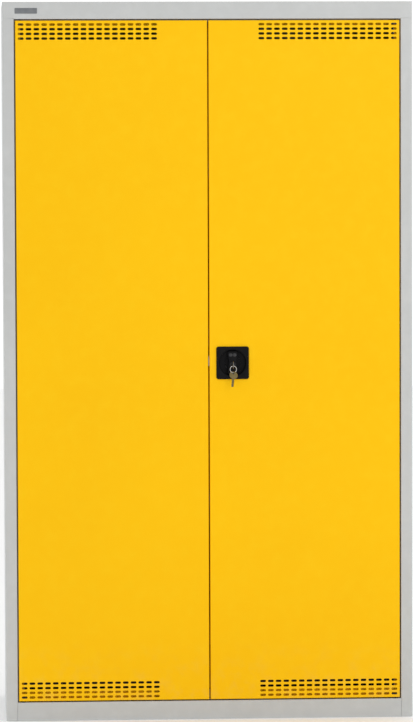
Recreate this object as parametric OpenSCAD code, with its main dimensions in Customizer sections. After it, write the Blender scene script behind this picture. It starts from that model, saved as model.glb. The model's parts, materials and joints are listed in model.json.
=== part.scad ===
// Flammable storage cabinet with two ventilated wing doors.
// Sheet metal carcass, three point lock with keys, trays and a sump.
// Frame: bottom centre of the carcass, +X right, front faces -Y, +Z up.

/* [Body] */
// outer width of the carcass
body_w = 1100; // [900:10:1300]
// outer height of the carcass
body_h = 1935; // [1700:5:2100]
// outer depth of the carcass
body_d = 500; // [420:10:600]
// sheet thickness of carcass and doors
sheet = 1.5; // [1:0.25:2]
// width of the front posts
post_w = 30.5; // [28:0.5:50]
// height of the top front rail
top_rail_h = 46; // [40:1:80]
// height of the bottom front rail
bottom_rail_h = 50; // [44:1:90]

/* [Doors] */
// gap beside, between and below the doors
door_gap = 3.5; // [2.5:0.5:5]
// gap above the doors
head_gap = 4; // [3:0.5:5]
// depth of the folded door pan
door_d = 22; // [20:1:24]
// distance of the pivot axis from the hinge edge
pivot_in = 12; // [11:0.5:14]
// distance of the pivot axis behind the front face
pivot_back = 6; // [5:0.5:7]

/* [Ventilation] */
// slots side by side in one field
slot_cols = 18; // [4:1:20]
// slot rows in one field
slot_rows = 4; // [1:1:6]
// spacing of the slots side by side
slot_pitch_x = 21; // [20:0.5:24]
// spacing of the slot rows
slot_pitch_z = 12.5; // [10:0.5:16]
// length of one slot
slot_len = 15.5; // [8:0.5:17]
// height of one slot
slot_h = 6.5; // [3:0.5:7]

/* [Lock] */
// distance of the lock centre from the centre gap
lock_x = 64; // [62:1:70]
// height of the lock centre above the floor
lock_z = 965; // [800:5:1100]
// edge length of the square lock plate
plate_w = 88; // [86:1:100]
// pitch radius of the pinion
pinion_r = 12; // [12:0.5:12.5]

/* [Inside] */
// height of the rim of the tray shelves
tray_h = 50; // [30:5:70]
// height of the sump tray
sump_h = 90; // [60:5:120]
// height of the first tray above the floor
tray_z1 = 560; // [460:50:610]
// spacing of the trays
tray_step = 450; // [300:50:450]

/* [Hidden] */
t = sheet;
hw = body_w / 2;
fy = -body_d / 2;
by = body_d / 2;
ox = hw - post_w;
rz = body_h - top_rail_h;
dz0 = bottom_rail_h + door_gap;
dz1 = rz - head_gap;
de = ox - door_gap;
dc = door_gap / 2;
ax = de - pivot_in;
ay = fy + pivot_back;
stop_y = fy + door_d + 3;
back_y = fy + door_d;
edge_d = 16;
hinge_in = 13;
wall_hole_in = 115;
foot_in = 28;
head_in = 12;
rod_y = -239.3;
rod_t = 4;
bolt_y = -234.7;
bolt_t = 4;
teeth = 12;
tooth_p = 2 * PI * pinion_r / teeth;
tooth_ad = 1.4;
tooth_dd = 2;
key_drop = 5;
key_z = lock_z - key_drop;
hub_r = 20;
cam_len = 18;
cam_w = 5;
pocket_r = sqrt(cam_len * cam_len + cam_w * cam_w / 4) + 0.6;
bow_y = fy - 25.5;
ring_y = fy - 29.5;
ring_r = 9;
ring_w = 0.8;
ring_z = key_z - 1.9 - ring_r;
ring_angle = 15;
spare_angle = -35;
spare_tilt = 8;
tray_w = 534;
up_x = hw - t - 12;

// choose one node to draw alone

// ---------- helpers ----------

// extrude a drawing of (y, z) along x
module along_x(x0, x1) {
    translate([x0, 0, 0])
        rotate([90, 0, 90])
            linear_extrude(height = x1 - x0)
                children();
}

// extrude a drawing of (x, z) along y
module along_y(y0, y1) {
    translate([0, y1, 0])
        rotate([90, 0, 0])
            linear_extrude(height = y1 - y0)
                children();
}

// extrude a drawing of (x, y) along z
module along_z(z0, z1) {
    translate([0, 0, z0])
        linear_extrude(height = z1 - z0)
            children();
}

// box from its low corner to its high corner
module box(a, b) {
    translate(a)
        cube([b[0] - a[0], b[1] - a[1], b[2] - a[2]]);
}

// round bar along y
module rod_y_bar(r, y0, y1, x, z) {
    translate([x, y1, z])
        rotate([90, 0, 0])
            cylinder(r = r, h = y1 - y0, $fn = 48);
}

// rectangle between two corners
module rect(x0, z0, x1, z1) {
    translate([x0, z0])
        square([x1 - x0, z1 - z0]);
}

// points of a rectangle with cut corners
function soft_rect(w, h, r) = [
    [-w + r, -h], [w - r, -h], [w - 0.29 * r, -h + 0.29 * r], [w, -h + r],
    [w, h - r], [w - 0.29 * r, h - 0.29 * r], [w - r, h], [-w + r, h],
    [-w + 0.29 * r, h - 0.29 * r], [-w, h - r], [-w, -h + r], [-w + 0.29 * r, -h + 0.29 * r]
];

// ---------- carcass ----------

module side_sheet() {
    along_z(0, body_h)
        union() {
            rect(hw - t, fy + t, hw, by);
            rect(hw - 22, by - t, hw, by);
        }
    along_z(0, rz)
        rect(ox, fy, hw, fy + t);
    along_z(0, body_h - t)
        union() {
            rect(ox, fy + t, ox + t, stop_y + t);
            rect(ox - 18, stop_y, ox + t, stop_y + t);
        }
}

module side_panel_right() {
    color([0.78, 0.79, 0.78])
        union() side_sheet();
}

module side_panel_left() {
    color([0.78, 0.79, 0.78])
        mirror([1, 0, 0])
            union() side_sheet();
}

module back_panel() {
    color([0.76, 0.77, 0.76])
        difference() {
            box([-hw + t, by - 2 * t, 2], [hw - t, by - t, body_h - t]);
            rod_y_bar(4.5, by - 4 * t, by + t, -hw + 100, body_h - wall_hole_in);
            rod_y_bar(4.5, by - 4 * t, by + t, hw - 100, body_h - wall_hole_in);
        }
}

module top_panel() {
    color([0.78, 0.79, 0.78])
        box([-hw + t, fy + t, body_h - t], [hw - t, by - t, body_h]);
}

module floor_panel() {
    color([0.76, 0.77, 0.76])
        box([-hw + t, stop_y + 2 * t, bottom_rail_h - t], [hw - t, by - 2 * t, bottom_rail_h]);
}

module rail_holes(z0, z1, rod_x) {
    for (s = [-1, 1])
        translate([s * ax, ay, z0])
            cylinder(r = 4.35, h = z1 - z0, $fn = 48);
    box([rod_x - 8, rod_y - 2, z0], [rod_x + 8, rod_y + rod_t + 2, z1]);
}

// room for the door stops of the side panels
module rail_notches(z0, z1) {
    for (s = [-1, 1])
        translate([s * (ox - 8.5), stop_y + t / 2, (z0 + z1) / 2])
            cube([20, t + 0.4, z1 - z0], center = true);
}

module top_rail() {
    color([0.78, 0.79, 0.78])
        difference() {
            union() {
                along_x(-hw, hw)
                    rect(fy, rz, fy + t, body_h);
                along_x(-ox, ox)
                    union() {
                        rect(fy, rz, stop_y + 2 * t, rz + t);
                        rect(stop_y + t, rz - head_in, stop_y + 2 * t, rz + t);
                    }
            }
            rail_holes(rz - 1, rz + t + 1, lock_x + 20);
            rail_notches(rz - 1, rz + t + 1);
        }
}

module bottom_rail() {
    color([0.76, 0.77, 0.76])
        difference() {
            along_x(-ox, ox)
                union() {
                    rect(fy, 0, fy + t, bottom_rail_h);
                    rect(fy, bottom_rail_h - t, stop_y + 2 * t, bottom_rail_h);
                    rect(stop_y + t, bottom_rail_h - t, stop_y + 2 * t, bottom_rail_h + foot_in);
                }
            rail_holes(bottom_rail_h - t - 1, bottom_rail_h + 1, lock_x - 20);
            rail_notches(bottom_rail_h - t - 1, bottom_rail_h + 1);
        }
}

module plinth_ring(z0, z1, w) {
    along_z(z0, z1)
        difference() {
            rect(-hw + 40, fy + 34, hw - 40, by - 12);
            rect(-hw + 40 + w, fy + 34 + w, hw - 40 - w, by - 12 - w);
        }
}

module plinth_frame() {
    color([0.70, 0.71, 0.70])
        union() {
            plinth_ring(0, 2, 30);
            plinth_ring(0, bottom_rail_h - t, 2);
        }
}

// ---------- inside ----------

module upright(c) {
    difference() {
        along_z(bottom_rail_h, body_h - 60)
            union() {
                rect(up_x, c - 15, up_x + t, c + 15);
                rect(up_x, c - 15, hw - t, c - 15 + t);
                rect(up_x, c + 15 - t, hw - t, c + 15);
            }
        for (i = [0:33])
            box([up_x - 1, c - 8, 150 + 50 * i], [up_x + t + 1, c + 8, 158 + 50 * i]);
    }
}

module upright_front_right() {
    color([0.66, 0.67, 0.68])
        upright(fy + 70);
}

module upright_front_left() {
    color([0.66, 0.67, 0.68])
        mirror([1, 0, 0])
            upright(fy + 70);
}

module upright_rear_right() {
    color([0.66, 0.67, 0.68])
        upright(by - 60);
}

module upright_rear_left() {
    color([0.66, 0.67, 0.68])
        mirror([1, 0, 0])
            upright(by - 60);
}

// clip drawing in (x, z) hooked in a slot
module clip(c, z) {
    along_y(c - 7, c + 7)
        translate([up_x, z])
            polygon([
                [-20, -2], [-2, -2], [-2, -20], [0, -20], [0, -7], [3.5, -7],
                [3.5, 1], [t + 0.2, 1], [t + 0.2, -3], [0, -3], [0, 0], [-20, 0]
            ]);
}

module shelf_clips() {
    color([0.72, 0.73, 0.75])
        for (i = [0:2])
            for (c = [fy + 70, by - 60])
                for (s = [0, 1])
                    mirror([s, 0, 0])
                        clip(c, tray_z1 + i * tray_step);
}

module tray(z, h) {
    difference() {
        box([-tray_w, -200, z], [tray_w, by - 10, z + h]);
        box([-tray_w + t, -200 + t, z + t], [tray_w - t, by - 10 - t, z + h - t]);
        box([-tray_w + 9, -191, z + t], [tray_w - 9, by - 19, z + h + 1]);
    }
}

module tray_lower() {
    color([0.74, 0.76, 0.78])
        tray(tray_z1, tray_h);
}

module tray_middle() {
    color([0.74, 0.76, 0.78])
        tray(tray_z1 + tray_step, tray_h);
}

module tray_upper() {
    color([0.74, 0.76, 0.78])
        tray(tray_z1 + 2 * tray_step, tray_h);
}

module sump_tray() {
    color([0.74, 0.76, 0.78])
        tray(bottom_rail_h, sump_h);
}

// ---------- doors ----------

module slot_shape() {
    polygon([
        [-slot_len / 2 + slot_h / 2, -slot_h / 2], [slot_len / 2 - slot_h / 2, -slot_h / 2],
        [slot_len / 2 - slot_h * 0.067, -slot_h / 4], [slot_len / 2, 0],
        [slot_len / 2 - slot_h * 0.067, slot_h / 4], [slot_len / 2 - slot_h / 2, slot_h / 2],
        [-slot_len / 2 + slot_h / 2, slot_h / 2], [-slot_len / 2 + slot_h * 0.067, slot_h / 4],
        [-slot_len / 2, 0], [-slot_len / 2 + slot_h * 0.067, -slot_h / 4]
    ]);
}

module slot_field(z) {
    for (i = [0:slot_cols - 1])
        for (k = [0:slot_rows - 1])
            translate([de - 15 - i * slot_pitch_x, z + k * slot_pitch_z])
                slot_shape();
}

module door_front() {
    along_y(fy, fy + t)
        difference() {
            rect(dc, dz0, de, dz1);
            slot_field(dz0 + 10.5);
            slot_field(dz1 - 10.5 - (slot_rows - 1) * slot_pitch_z);
            children();
        }
}

// end return of the door pan with a shallow hinge corner
module pan_end() {
    polygon([[dc, fy], [de, fy], [de, fy + edge_d], [ax, fy + edge_d], [ax, back_y], [dc, back_y]]);
}

module door_folds() {
    box([de - t, fy, dz0], [de, fy + edge_d, dz1]);
    box([de - hinge_in, fy + edge_d - t, dz0], [de, fy + edge_d, dz1]);
    box([dc, fy, dz0], [dc + t, back_y, dz1]);
    box([dc, back_y - t, dz0], [dc + 28, back_y, dz1]);
    along_z(dz0, dz0 + t)
        pan_end();
    along_z(dz1 - t, dz1)
        pan_end();
    box([dc, back_y - t, dz0], [ax, back_y, dz0 + foot_in]);
    box([dc, back_y - t, dz1 - head_in], [ax, back_y, dz1]);
}

module door_cuts() {
    for (z = [dz0 - 1, dz1 - t - 1])
        translate([ax, ay, z])
            cylinder(r = 3.3, h = t + 2, $fn = 48);
    box([dc - 1, bolt_y - 1, lock_z - 10], [dc + t + 1, bolt_y + bolt_t + 1, lock_z + 28]);
}

module left_door_skin() {
    color([0.96, 0.77, 0.10])
        mirror([1, 0, 0])
            difference() {
                union() {
                    door_front();
                    door_folds();
                }
                door_cuts();
            }
}

module right_door_skin() {
    color([0.96, 0.77, 0.10])
        difference() {
            union() {
                door_front()
                    rect(lock_x - 39.5, lock_z - 39.5, lock_x + 39.5, lock_z + 39.5);
                door_folds();
            }
            door_cuts();
            box([lock_x + 13, rod_y - 1, dz1 - t - 1], [lock_x + 27, rod_y + rod_t + 1, dz1 + 1]);
            box([lock_x - 27, rod_y - 1, dz0 - 1], [lock_x - 13, rod_y + rod_t + 1, dz0 + t + 1]);
        }
}

// hat section on the back of the door sheet
module hat() {
    cx = (dc + de) / 2;
    along_z(dz0 + 90, dz1 - 90)
        polygon([
            [cx - 42, fy + t], [cx - 22, fy + t], [cx - 20, fy + 16 - t], [cx + 20, fy + 16 - t],
            [cx + 22, fy + t], [cx + 42, fy + t], [cx + 42, fy + 2 * t], [cx + 23.4, fy + 2 * t],
            [cx + 21.4, fy + 16], [cx - 21.4, fy + 16], [cx - 23.4, fy + 2 * t], [cx - 42, fy + 2 * t]
        ]);
}

module right_door_stiffener() {
    color([0.94, 0.75, 0.10])
        hat();
}

module left_door_stiffener() {
    color([0.94, 0.75, 0.10])
        mirror([1, 0, 0])
            hat();
}

module pivot(z0, z1, pin0, pin1) {
    box([ax - 12, fy + t, z0], [de - 5, fy + edge_d - t, z1]);
    translate([ax, ay, pin0])
        cylinder(r = 3, h = pin1 - pin0, $fn = 48);
}

module pivot_pair() {
    union()
        pivot(dz1 - t - 9, dz1 - t, dz1 - t - 1, rz + 8);
    union()
        pivot(dz0 + t, dz0 + t + 9, bottom_rail_h - 8, dz0 + t + 1);
}

module right_door_pivots() {
    color([0.62, 0.63, 0.65])
        pivot_pair();
}

module left_door_pivots() {
    color([0.62, 0.63, 0.65])
        mirror([1, 0, 0])
            pivot_pair();
}

module bush(z0, z1) {
    difference() {
        union() {
            cylinder(r = 4.3, h = z1, $fn = 48);
            translate([0, 0, -1])
                cylinder(r = 5.3, h = 1, $fn = 48);
        }
        translate([0, 0, -2])
            cylinder(r = 3.06, h = z1 + 4, $fn = 48);
    }
}

module pivot_bushes() {
    color([0.15, 0.15, 0.16])
        for (s = [-1, 1]) {
            translate([s * ax, ay, rz])
                bush(0, 8);
            translate([s * ax, ay, bottom_rail_h])
                mirror([0, 0, 1])
                    bush(0, 8);
        }
}

// strip on the left door behind the centre gap
module gap_cover() {
    color([0.90, 0.70, 0.10])
        along_y(back_y, back_y + 1.2)
            difference() {
                rect(-28, dz0 + foot_in, 0.7, dz1 - 20);
                rect(-4, lock_z - 13, 2, lock_z + 31);
            }
}

module edge_striker() {
    color([0.66, 0.67, 0.69])
        difference() {
            box([-dc - t - 2, fy + 4, lock_z - 26], [-dc - t, back_y - t, lock_z + 44]);
            box([-dc - t - 3, bolt_y - 0.8, lock_z - 9.5], [-dc, bolt_y + bolt_t + 0.7, lock_z + 27]);
        }
}

// ---------- lock ----------

module lock_dish() {
    color([0.10, 0.10, 0.11])
        difference() {
            union() {
                along_y(fy - 4, fy)
                    translate([lock_x, lock_z])
                        polygon(soft_rect(plate_w / 2, plate_w / 2, 6));
                along_y(fy, fy + 10)
                    translate([lock_x, lock_z])
                        polygon(soft_rect(39, 39, 4));
            }
            rod_y_bar(36, fy - 5, fy + 8, lock_x, lock_z);
            rod_y_bar(hub_r + 0.3, fy + 7, fy + 11, lock_x, lock_z);
            rod_y_bar(pocket_r, fy + 7, fy + 11, lock_x, lock_z - key_drop);
            rod_y_bar(pocket_r, fy + 7, fy + 11, lock_x + key_drop, lock_z);
        }
}

module lock_grip() {
    color([0.14, 0.14, 0.15])
        difference() {
            union() {
                along_y(fy - 6, fy + 6)
                    translate([lock_x, lock_z])
                        polygon([
                            [-13.5, -27], [-10, -30.5], [10, -30.5], [13.5, -27], [12, -9], [10.5, 6],
                            [13.5, 26], [11, 30.5], [-11, 30.5], [-13.5, 26], [-10.5, 6], [-12, -9]
                        ]);
                rod_y_bar(hub_r, fy + 6, fy + 10.4, lock_x, lock_z);
            }
            rod_y_bar(8.02, fy - 7, fy + 6.6, lock_x, key_z);
            rod_y_bar(6.4, fy + 6, fy + 8.5, lock_x, key_z);
            along_y(fy + 8, fy + 9.6)
                translate([lock_x, key_z])
                    polygon([
                        [-6.5, -12], [-3.2, -24], [14, -24], [24, -14], [24, 3.2], [6.5, 6.5], [-6.5, 6.5]
                    ]);
        }
}

module lock_barrel() {
    color([0.70, 0.70, 0.72])
        difference() {
            rod_y_bar(8, fy - 7, fy + 6.6, lock_x, key_z);
            rod_y_bar(6.06, fy - 8, fy + 7, lock_x, key_z);
        }
}

module pinion_shape() {
    tr = 2.8;
    tp = 2;
    tt = 1.2;
    ra = pinion_r + tooth_ad;
    rd = pinion_r - tooth_dd;
    polygon([
        for (k = [0:teeth - 1])
            for (q = [[rd, -tr], [pinion_r, -tp], [ra, -tt], [ra, tt], [pinion_r, tp], [rd, tr]])
                let (a = 360 * k / teeth + q[1] / 2 / q[0] * 180 / PI)
                    [q[0] * cos(a), q[0] * sin(a)]
    ]);
}

module lock_pinion() {
    color([0.60, 0.61, 0.63])
        union() {
            along_y(fy + 10.4, fy + 19.6)
                translate([lock_x, lock_z])
                    pinion_shape();
            rod_y_bar(5, fy + 19.5, fy + 22.5, lock_x, lock_z);
        }
}

module lock_case() {
    x0 = lock_x - 32;
    x1 = lock_x + 32;
    z0 = lock_z - 35;
    z1 = lock_z + 35;
    color([0.62, 0.63, 0.65])
        difference() {
            box([x0, fy + 10, z0], [x1, fy + 21.5, z1]);
            box([x0 + t, fy + 9, z0 + t], [x1 - t, fy + 20, z1 - t]);
            rod_y_bar(5.06, fy + 19, fy + 23, lock_x, lock_z);
            box([lock_x + 13.2, fy + 9, z1 - 3], [lock_x + 27, rod_y + rod_t + 0.3, z1 + 1]);
            box([lock_x - 27, fy + 9, z0 - 1], [lock_x - 13.2, rod_y + rod_t + 0.3, z0 + 3]);
            box([x0 - 1, fy + 9, lock_z + 13.5], [x0 + 3, bolt_y + bolt_t + 0.3, lock_z + 26.6]);
        }
}

module lock_screws() {
    color([0.70, 0.71, 0.73])
        for (sx = [-1, 1])
            for (sz = [-1, 1])
                rod_y_bar(3.2, fy + 21.5, fy + 23.5, lock_x + sx * 26, lock_z + sz * 29);
}

// rack teeth on the low side of a bar, drawn along +x with the gap centre at 0
function rack_teeth(n0, n1) = [
    for (k = [n0:n1])
        for (q = [[-1.4, -tooth_dd], [-1, 0], [-0.7, tooth_ad], [0.7, tooth_ad], [1, 0], [1.4, -tooth_dd]])
            [(k + 0.5) * tooth_p + q[0], q[1]]
];

// drawn with x along the rod and the teeth toward +y
module upper_rod() {
    len_up = dz1 - 1 - lock_z;
    color([0.74, 0.73, 0.70])
        along_y(rod_y, rod_y + rod_t)
            translate([lock_x + pinion_r, lock_z])
                rotate([0, 0, 90])
                    polygon(concat(
                        [[-29, -13.5], [-29, -tooth_dd]],
                        rack_teeth(-4, 1),
                        [[len_up - 4, -tooth_dd], [len_up, -tooth_dd - 3], [len_up, -10.5], [len_up - 4, -13.5]]
                    ));
}

module lower_rod() {
    len_dn = lock_z - dz0 - 1;
    color([0.74, 0.73, 0.70])
        along_y(rod_y, rod_y + rod_t)
            translate([lock_x - pinion_r, lock_z])
                rotate([0, 0, -90])
                    polygon(concat(
                        [[-29, -13.5], [-29, -tooth_dd]],
                        rack_teeth(-4, 1),
                        [[len_dn - 4, -tooth_dd], [len_dn, -tooth_dd - 3], [len_dn, -10.5], [len_dn - 4, -13.5]]
                    ));
}

module side_bolt() {
    color([0.78, 0.77, 0.74])
        along_y(bolt_y, bolt_y + bolt_t)
            translate([lock_x, lock_z + pinion_r])
                mirror([1, 0, 0])
                    mirror([0, 1, 0])
                        polygon(concat(
                            [[-29, -13.5], [-29, -tooth_dd]],
                            rack_teeth(-4, 1),
                            [
                                [40, -tooth_dd], [48, 20.5], [lock_x + 0.5, 20.5],
                                [lock_x + 0.5, -4], [lock_x - 8, -13.5]
                            ]
                        ));
}

// sliding block round a rod at height z
module guide(x, z) {
    difference() {
        box([x - 12, fy + t, z - 7], [x + 12, fy + 17, z + 7]);
        box([x - 6.1, rod_y - 0.3, z - 8], [x + 6.1, rod_y + rod_t + 0.3, z + 8]);
    }
}

module rod_guides() {
    color([0.85, 0.85, 0.83])
        for (d = [250, 700]) {
            guide(lock_x + pinion_r + tooth_dd + 5.75, lock_z + d);
            guide(lock_x - pinion_r - tooth_dd - 5.75, lock_z - d);
        }
}

module bolt_guide() {
    color([0.85, 0.85, 0.83])
        difference() {
            box([8, fy + t, lock_z - 15], [20, back_y - t, lock_z + 32]);
            box([7, bolt_y - 0.3, lock_z - 9.2], [21, bolt_y + bolt_t + 0.3, lock_z + 26]);
        }
}

module striker(x, z) {
    difference() {
        box([x - 14, fy + 3, z], [x + 14, stop_y - 2, z + 2]);
        box([x - 6.6, rod_y - 0.6, z - 1], [x + 6.6, rod_y + rod_t + 0.6, z + 3]);
    }
}

module striker_plates() {
    color([0.66, 0.67, 0.69])
        union() {
            striker(lock_x + pinion_r + tooth_dd + 5.75, rz + t);
            striker(lock_x - pinion_r - tooth_dd - 5.75, bottom_rail_h - t - 2);
        }
}

module lock_plug() {
    color([0.80, 0.74, 0.55])
        difference() {
            union() {
                rod_y_bar(6, fy - 7.3, fy + 8.2, lock_x, key_z);
                along_y(fy + 8.2, fy + 9.4)
                    translate([lock_x, key_z])
                        rect(-3, -cam_w / 2, cam_len, cam_w / 2);
            }
            box([lock_x - 1.3, fy - 8, key_z - 3.9], [lock_x + 1.3, fy + 7, key_z + 3.9]);
        }
}

// key in the plug with its bow upright in (y, z)
module main_key() {
    color([0.80, 0.78, 0.72])
        along_x(lock_x - 0.8, lock_x + 0.8)
            difference() {
                union() {
                    translate([bow_y, key_z])
                        circle(r = 10.5, $fn = 64);
                    rect(bow_y, key_z - 3.5, fy + 5, key_z + 3.5);
                    rect(bow_y + 8, key_z - 5, fy - 8, key_z + 5);
                }
                translate([ring_y, key_z])
                    circle(r = 3.2, $fn = 48);
                translate([fy, key_z + 3.5])
                    polygon([[-3, 1], [0, -1.5], [3, 1]]);
            }
}

module key_ring() {
    color([0.80, 0.80, 0.82])
        translate([lock_x, ring_y, ring_z])
            rotate([90, 0, ring_angle])
                rotate_extrude($fn = 96)
                    translate([ring_r, 0])
                        circle(r = ring_w, $fn = 24);
}

// spare key hanging on the lowest point of the ring
module spare_key() {
    color([0.82, 0.74, 0.52])
        translate([lock_x, ring_y, ring_z - ring_r])
            rotate([0, 0, spare_angle])
                rotate([0, spare_tilt, 0])
                    difference() {
                        union() {
                            for (u = [-1.2, 4.8])
                                rod_y_bar(9.5, -0.8, 0.8, u, -6.5);
                            along_y(-0.8, 0.8)
                                rect(-1.2, -16, 4.8, 3);
                            along_y(-0.8, 0.8)
                                translate([1.8, -13])
                                    polygon([
                                        [-3.5, 0], [3.5, 0], [3.5, -13], [2.2, -14.5], [3.5, -16],
                                        [2.2, -17.5], [3.5, -19], [2.4, -20.5], [3.5, -22], [1, -26], [-3.5, -24]
                                    ]);
                        }
                        rod_y_bar(2.8, -2, 2, 0, -1.3);
                    }
}

// ---------- small parts ----------

module door_bumpers() {
    color([0.08, 0.08, 0.08])
        for (x = [-470, -40, 40, 470]) {
            rod_y_bar(4, back_y + 0.4, stop_y + t, x, rz - 8);
            rod_y_bar(6, back_y + 0.4, stop_y + t, x, bottom_rail_h + 14);
        }
}

module blank_nameplate() {
    color([0.22, 0.23, 0.24])
        along_y(fy - 0.8, fy)
            translate([-hw + 63, body_h - 24])
                polygon(soft_rect(30, 7.5, 1.5));
}

side_panel_left();
side_panel_right();
back_panel();
top_panel();
floor_panel();
top_rail();
bottom_rail();
plinth_frame();
upright_front_left();
upright_front_right();
upright_rear_left();
upright_rear_right();
shelf_clips();
tray_lower();
tray_middle();
tray_upper();
sump_tray();
left_door_skin();
right_door_skin();
left_door_stiffener();
right_door_stiffener();
left_door_pivots();
right_door_pivots();
pivot_bushes();
gap_cover();
edge_striker();
lock_dish();
lock_grip();
lock_pinion();
lock_case();
lock_screws();
lock_barrel();
upper_rod();
lower_rod();
side_bolt();
rod_guides();
bolt_guide();
striker_plates();
lock_plug();
main_key();
key_ring();
spare_key();
door_bumpers();
blank_nameplate();
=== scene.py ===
import json
import math

import bmesh
import bpy
from mathutils import Matrix, Vector
from mathutils.geometry import delaunay_2d_cdt


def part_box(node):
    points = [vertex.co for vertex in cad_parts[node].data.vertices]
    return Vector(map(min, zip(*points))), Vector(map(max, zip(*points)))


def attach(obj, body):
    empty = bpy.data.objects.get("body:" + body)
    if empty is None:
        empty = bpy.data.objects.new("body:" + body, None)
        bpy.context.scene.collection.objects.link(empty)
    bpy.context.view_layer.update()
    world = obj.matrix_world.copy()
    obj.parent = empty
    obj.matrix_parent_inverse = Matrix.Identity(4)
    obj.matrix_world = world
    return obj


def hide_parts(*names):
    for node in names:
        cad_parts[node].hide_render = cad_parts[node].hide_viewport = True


# Looks of the sheet metal cabinet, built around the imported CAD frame. Lengths are in metres where
# nothing else is said. Profiles and outlines in mm become metres by * MM or in_mm.

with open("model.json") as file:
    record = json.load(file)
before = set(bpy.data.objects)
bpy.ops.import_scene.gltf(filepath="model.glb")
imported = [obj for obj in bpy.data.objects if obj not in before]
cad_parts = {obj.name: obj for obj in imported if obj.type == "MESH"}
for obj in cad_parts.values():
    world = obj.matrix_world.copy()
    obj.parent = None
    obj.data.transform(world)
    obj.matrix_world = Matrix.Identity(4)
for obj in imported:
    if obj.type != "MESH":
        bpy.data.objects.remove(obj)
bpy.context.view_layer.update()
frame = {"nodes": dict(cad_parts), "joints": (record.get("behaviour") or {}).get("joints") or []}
NODES = frame["nodes"]

MM = 0.001
SHEET = 1.5 * MM            # thickness of every folded sheet
BEND = 2.4 * MM             # outer radius of the folds of door fronts, side panels and trays
RAIL_BEND = 1.62 * MM       # the same on the two rails
BACK_BEND = 1.9 * MM        # and behind the doors
ARC_STEPS = 5
SMOOTH_ANGLE = math.radians(32)
BEVEL_ANGLE = math.radians(40)

# ---- places from the CAD frame

SKIN_LOW, SKIN_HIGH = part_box("right_door_skin")
SIDE_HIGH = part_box("side_panel_right")[1]
RAIL_LOW, RAIL_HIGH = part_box("top_rail")
FOOT_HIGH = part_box("bottom_rail")[1]
DISH_LOW, DISH_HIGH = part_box("lock_dish")

DOOR_X0, DOOR_X1 = SKIN_LOW.x, SKIN_HIGH.x
DOOR_Z0, DOOR_Z1 = SKIN_LOW.z, SKIN_HIGH.z
FRONT_Y, DOOR_BACK_Y = SKIN_LOW.y, SKIN_HIGH.y
HALF_W = SIDE_HIGH.x
BODY_H = RAIL_HIGH.z
REAR_Y = SIDE_HIGH.y
JAMB_X = FOOT_HIGH.x
HEAD_FLANGE, FOOT_FLANGE = 12 * MM, 28 * MM
RAIL_Z = RAIL_LOW.z + HEAD_FLANGE
FOOT_Z = FOOT_HIGH.z - FOOT_FLANGE
PIVOT_X = DOOR_X1 - 12 * MM
PIVOT_Y = FRONT_Y + 6 * MM
PIN_R, PIN_HOLE_R, BUSH_HOLE_R = 3 * MM, 3.3 * MM, 4.35 * MM
LOCK_X = (DISH_LOW.x + DISH_HIGH.x) / 2
LOCK_Z = (DISH_LOW.z + DISH_HIGH.z) / 2
KEY_DROP = 5 * MM           # the key turns below the centre of the handle
KEY_Z = LOCK_Z - KEY_DROP
STOP_Y = FRONT_Y + 25 * MM
ROD_OFFSET = 20 * MM        # from the lock centre, to the right above and to the left below
ROD_HALF_W = 6 * MM
ROD_Y0, ROD_Y1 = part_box("upper_rod")[0].y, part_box("upper_rod")[1].y
BOLT_Y0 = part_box("side_bolt")[0].y

# ---- node materials


def add_node(tree, kind, inputs, **settings):
    """A new node, with each input set to a value or linked to the output of another node."""
    node = tree.nodes.new("ShaderNode" + kind)
    for name, value in settings.items():
        setattr(node, name, value)
    for name, value in inputs.items():
        if isinstance(value, bpy.types.NodeSocket):
            tree.links.new(value, node.inputs[name])
        else:
            node.inputs[name].default_value = value
    return node


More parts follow.
